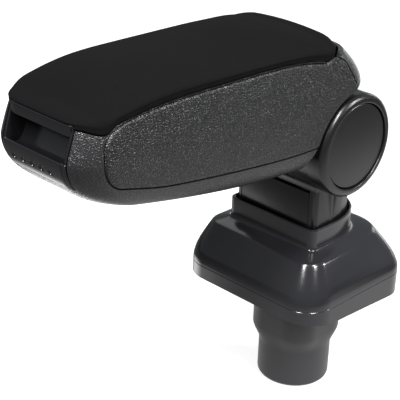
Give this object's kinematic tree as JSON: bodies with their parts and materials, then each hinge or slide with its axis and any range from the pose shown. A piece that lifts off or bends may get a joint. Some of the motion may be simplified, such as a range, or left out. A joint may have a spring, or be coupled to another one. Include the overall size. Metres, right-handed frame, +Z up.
{
  "type": "car centre armrest",
  "caption": "Folding car armrest on a cup-holder plug: round hinge head, grained shell with a storage room, padded fabric lid that opens, and a release bar over a finger mouth.",
  "frame": {"origin": "centre of the flat bottom of the cup-holder plug", "axes": "+X towards the car's rear, +Y to the car's right, +Z up; the arm points forward along -X"},
  "size_m": [0.3946, 0.1658, 0.3871],
  "materials": {
    "plug_plastic": "satin black moulding",
    "frame_steel": "black e-coat",
    "zinc_steel": "zinc plated",
    "cover_plastic": "glossy satin black",
    "post_plastic": "satin dark grey",
    "cap_plastic": "satin dark grey",
    "cast_metal": "dark cast alloy",
    "bush_plastic": "natural",
    "shell_plastic": "grained dark grey",
    "panel_plastic": "grained dark grey",
    "insert_plastic": "satin gloss black",
    "tray_plastic": "matte black",
    "lid_plastic": "matte black",
    "lid_fabric": "matte black knit"
  },
  "bodies": {
    "base": {"cup_plug": "plug_plastic", "mounting_plate": "frame_steel", "plug_screws": "zinc_steel", "post_tube": "frame_steel", "base_cover": "cover_plastic", "cover_screws": "zinc_steel", "hinge_post": "post_plastic", "post_front_panel": "post_plastic", "tube_bolts": "zinc_steel", "pivot_shaft": "zinc_steel", "shaft_nut": "zinc_steel", "shaft_washers": "zinc_steel", "right_cap_ring": "cap_plastic", "left_cap_ring": "cap_plastic", "right_cap_disc": "cap_plastic", "left_cap_disc": "cap_plastic"},
    "arm": {"arm_knuckle": "cast_metal", "right_bush": "bush_plastic", "left_bush": "bush_plastic", "knuckle_screws": "zinc_steel", "arm_shell": "shell_plastic", "right_side_panel": "panel_plastic", "left_side_panel": "panel_plastic", "front_insert": "insert_plastic", "storage_tray": "tray_plastic", "lid_hinge_bracket": "cast_metal", "lid_hinge_pins": "zinc_steel"},
    "lid": {"lid_plate": "lid_plastic", "lid_pad": "lid_fabric", "lid_hinge_leaf": "frame_steel", "leaf_screws": "zinc_steel", "lid_catch": "tray_plastic"},
    "latch": {"release_bar": "insert_plastic", "bar_spring": "zinc_steel"}
  },
  "joints": [
    {"name": "arm_fold", "type": "hinge", "parent": "base", "child": "arm", "pos_m": [-0.0155, 0, 0.2734], "axis": [0, 1, 0], "range_deg": [0, 85]},
    {"name": "lid_open", "type": "hinge", "parent": "arm", "child": "lid", "pos_m": [-0.032, 0, 0.363], "axis": [0, 1, 0], "range_deg": [0, 60]},
    {"name": "bar_release", "type": "hinge", "parent": "arm", "child": "latch", "pos_m": [-0.316, 0, 0.3606], "axis": [0, 1, 0], "range_deg": [0, 12], "stiffness_Nm_per_rad": 0.02, "springref_deg": -11.46}
  ]
}
